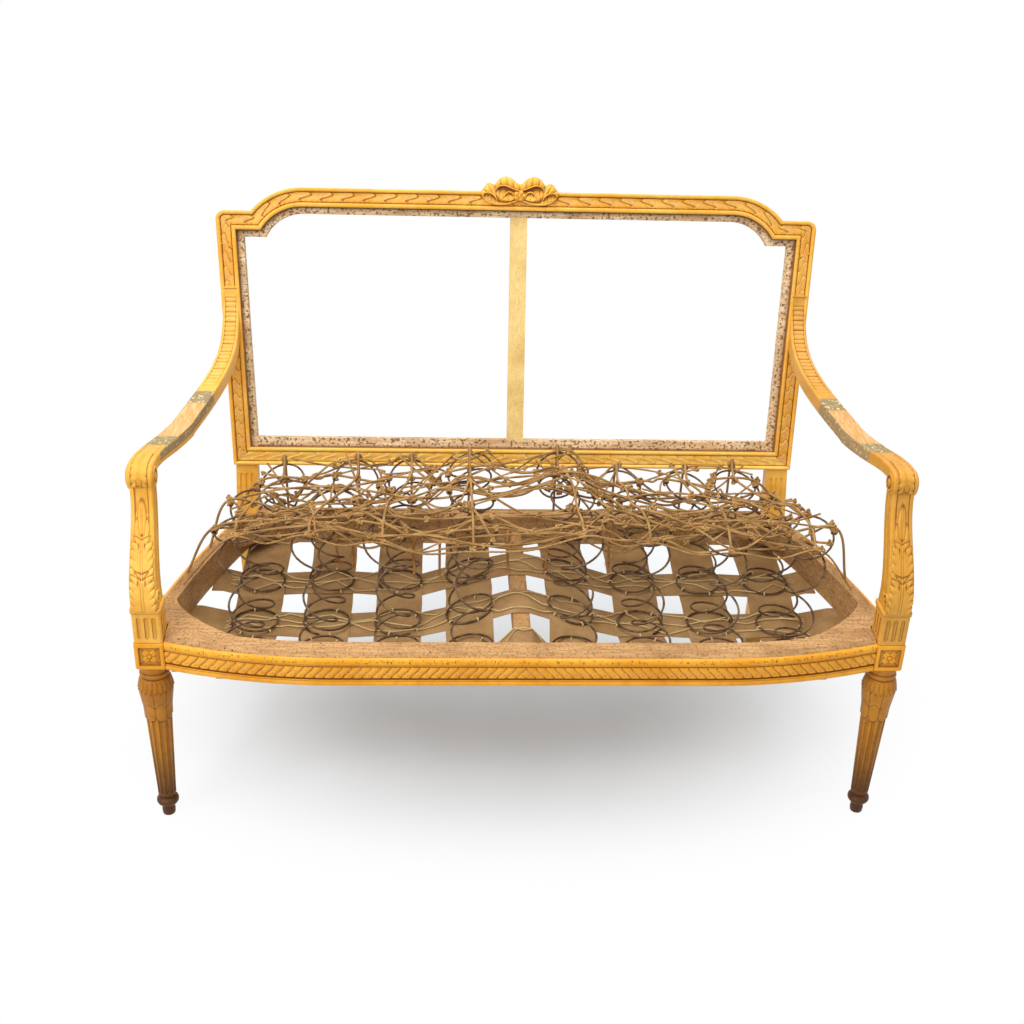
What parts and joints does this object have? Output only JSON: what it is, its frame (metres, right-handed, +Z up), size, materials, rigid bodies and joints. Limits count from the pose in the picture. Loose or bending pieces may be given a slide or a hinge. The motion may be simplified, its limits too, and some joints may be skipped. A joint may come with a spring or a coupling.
{
  "type": "sofa frame",
  "caption": "Open-backed carved settee frame stripped of its upholstery, with bowed seat rails, scrolled armrests, woven webbing and lashed hourglass springs.",
  "frame": {"origin": "on the floor, under the middle of the settee's width and depth", "axes": "+X to the right of someone who looks at its front, -Y out of its front, +Z up"},
  "size_m": [1.262, 0.671, 0.9645],
  "materials": {
    "painted_beech": "satin golden paint with brown glaze in the carving",
    "bare_beech": "dry raw wood with tack holes",
    "jute_webbing": "old plain-woven jute",
    "spring_steel": "tarnished brown wire",
    "jute_twine": "laid jute twine, frayed at the ends"
  },
  "bodies": {
    "root": {"front_leg_left": "painted_beech", "front_leg_right": "painted_beech", "arm_support_left": "painted_beech", "arm_support_right": "painted_beech", "armrest_left": "painted_beech", "armrest_right": "painted_beech", "back_post_left": "painted_beech", "back_post_right": "painted_beech", "crest_rail": "painted_beech", "crest_ribbon": "painted_beech", "back_bottom_rail": "painted_beech", "back_mullion": "bare_beech", "front_seat_rail": "painted_beech", "side_seat_rail_left": "painted_beech", "side_seat_rail_right": "painted_beech", "rear_seat_rail": "bare_beech", "front_corner_block_left": "bare_beech", "front_corner_block_right": "bare_beech", "rear_corner_block_left": "bare_beech", "rear_corner_block_right": "bare_beech", "centre_bearer": "bare_beech", "webbing_long_left_1": "jute_webbing", "webbing_long_left_2": "jute_webbing", "webbing_long_left_3": "jute_webbing", "webbing_long_left_4": "jute_webbing", "webbing_long_right_1": "jute_webbing", "webbing_long_right_2": "jute_webbing", "webbing_long_right_3": "jute_webbing", "webbing_long_right_4": "jute_webbing", "webbing_cross_1": "jute_webbing", "webbing_cross_2": "jute_webbing", "webbing_cross_3": "jute_webbing", "spring_front_left_1": "spring_steel", "spring_front_left_2": "spring_steel", "spring_front_left_3": "spring_steel", "spring_front_left_4": "spring_steel", "spring_front_right_1": "spring_steel", "spring_front_right_2": "spring_steel", "spring_front_right_3": "spring_steel", "spring_front_right_4": "spring_steel", "spring_middle_left_1": "spring_steel", "spring_middle_left_2": "spring_steel", "spring_middle_left_3": "spring_steel", "spring_middle_left_4": "spring_steel", "spring_middle_right_1": "spring_steel", "spring_middle_right_2": "spring_steel", "spring_middle_right_3": "spring_steel", "spring_middle_right_4": "spring_steel", "spring_rear_left_1": "spring_steel", "spring_rear_left_2": "spring_steel", "spring_rear_left_3": "spring_steel", "spring_rear_left_4": "spring_steel", "spring_rear_right_1": "spring_steel", "spring_rear_right_2": "spring_steel", "spring_rear_right_3": "spring_steel", "spring_rear_right_4": "spring_steel", "lashing_rows": "jute_twine", "lashing_columns": "jute_twine", "lashing_tails": "jute_twine"}
  },
  "joints": []
}
